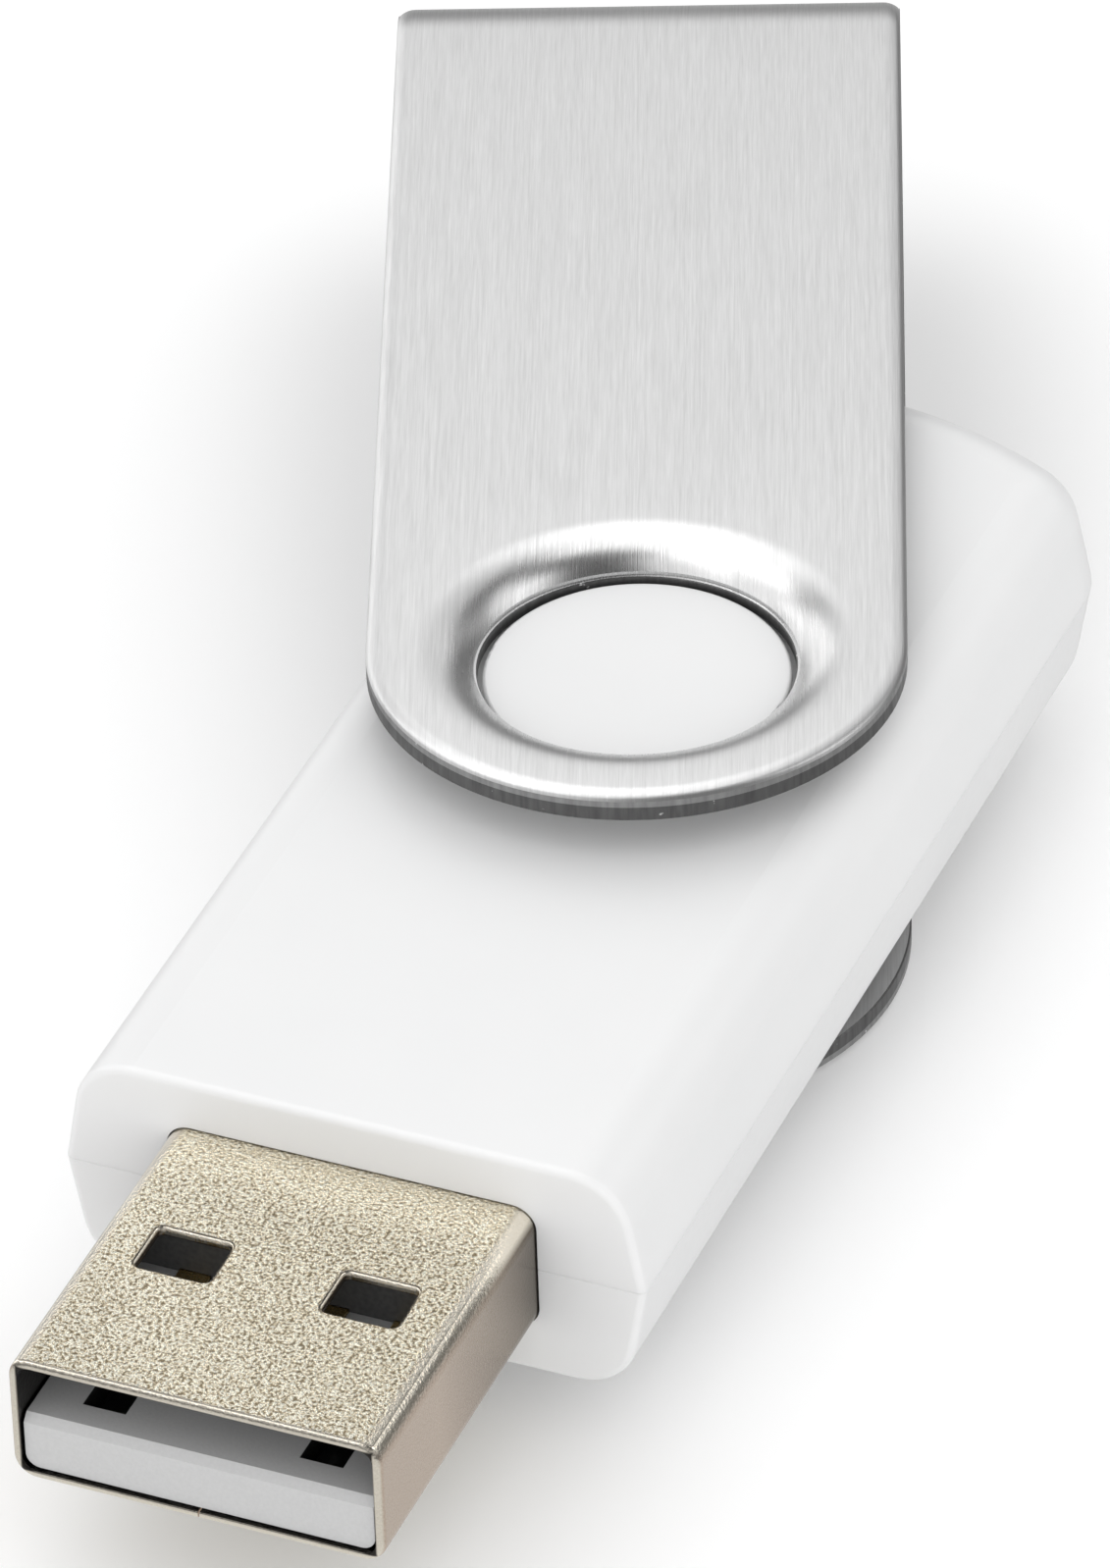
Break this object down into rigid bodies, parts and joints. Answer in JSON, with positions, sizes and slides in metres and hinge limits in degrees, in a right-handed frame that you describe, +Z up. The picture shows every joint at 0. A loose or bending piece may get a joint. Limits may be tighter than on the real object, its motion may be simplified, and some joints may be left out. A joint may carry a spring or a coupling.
{
  "type": "usb flash drive",
  "caption": "Swivel USB flash drive: a slim rounded plastic housing with a USB-A plug, and a folded brushed metal clip that turns about a round boss to cover the plug.",
  "frame": {"origin": "on the USB plug's axis, where the plug leaves the housing's front face", "axes": "+X the way the plug goes into a socket, +Z up with the plug's contacts facing up, +Y to the right seen from in front of the plug. At rest the clip points back and is turned 21.6 degrees about +Z from straight back."},
  "size_m": [0.0759, 0.0324, 0.0126],
  "materials": {
    "housing_plastic": "satin white moulded plastic",
    "clip_metal": "brushed along its length",
    "plug_metal": "nickel plated, finely grained",
    "tongue_plastic": "matt off-white",
    "block_plastic": "matt black",
    "contact_gold": "gold plated",
    "board_mask": "green solder mask",
    "chip_resin": "moulded black resin",
    "lead_tin": "tin plated",
    "crystal_can": "satin metal lid",
    "capacitor_ceramic": "fired ceramic",
    "resistor_film": "glazed",
    "solder": "bright solder"
  },
  "bodies": {
    "housing": {"top_shell": "housing_plastic", "bottom_shell": "housing_plastic", "plug_shell": "plug_metal", "plug_tongue": "tongue_plastic", "plug_block": "block_plastic", "vbus_contact": "contact_gold", "data_minus_contact": "contact_gold", "data_plus_contact": "contact_gold", "ground_contact": "contact_gold", "circuit_board": "board_mask", "solder_pads": "contact_gold", "controller_chip": "chip_resin", "controller_leads": "lead_tin", "flash_chip": "chip_resin", "flash_leads": "lead_tin", "crystal": "crystal_can", "capacitor_bodies": "capacitor_ceramic", "capacitor_terminals": "lead_tin", "resistor_bodies": "resistor_film", "resistor_terminals": "lead_tin", "contact_solder": "solder", "shell_solder": "solder"},
    "clip": {"swivel_clip": "clip_metal"}
  },
  "joints": [
    {"name": "clip_swivel", "type": "hinge", "parent": "housing", "child": "clip", "pos_m": [-0.023, 0, 0], "axis": [0, 0, 1], "continuous": true}
  ]
}
